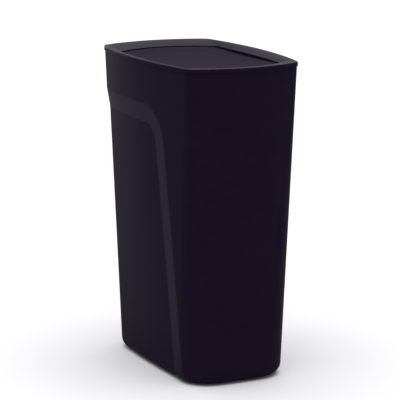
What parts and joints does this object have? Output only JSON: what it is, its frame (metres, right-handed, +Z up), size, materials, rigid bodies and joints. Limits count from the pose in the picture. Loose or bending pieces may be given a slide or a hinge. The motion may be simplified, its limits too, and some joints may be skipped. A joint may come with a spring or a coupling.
{
  "type": "swing-lid waste bin",
  "caption": "Slim upright moulded bin with a stepped side panel, lift-off rim lid, dished swing flap and drop-in bag ring.",
  "frame": {"origin": "on the floor, under the middle of the bin", "axes": "+X to the narrow front end, +Y to the left long side, +Z up"},
  "size_m": [0.254, 0.157, 0.35],
  "materials": {
    "black_plastic": "satin moulded plastic",
    "ring_plastic": "satin moulded plastic",
    "bush_plastic": "natural acetal",
    "rubber": "soft rubber",
    "steel": "zinc plated"
  },
  "bodies": {
    "bin": {"body_shell": "black_plastic", "foot_pads": "rubber"},
    "lid": {"lid_frame": "black_plastic", "pivot_bush_left": "bush_plastic", "pivot_bush_right": "bush_plastic"},
    "flap": {"flap_cover": "black_plastic", "flap_tray": "black_plastic", "flap_screws": "steel", "counterweight_bar": "steel", "pivot_pin_left": "steel", "pivot_pin_right": "steel"},
    "liner_ring": {"bag_ring": "ring_plastic"}
  },
  "joints": [
    {"name": "lid_lift", "type": "slide", "parent": "bin", "child": "lid", "axis": [0, 0, 1], "range_m": [0, 0.16]},
    {"name": "flap_swing", "type": "hinge", "parent": "lid", "child": "flap", "pos_m": [0, 0, 0.337], "axis": [0, 1, 0], "range_deg": [-80, 80]},
    {"name": "bag_ring_lift", "type": "slide", "parent": "bin", "child": "liner_ring", "axis": [0, 0, 1], "range_m": [0, 0.08]}
  ],
  "couplings": [
    {"joint": "bag_ring_lift", "follows": "lid_lift", "ratio": 0.5}
  ]
}
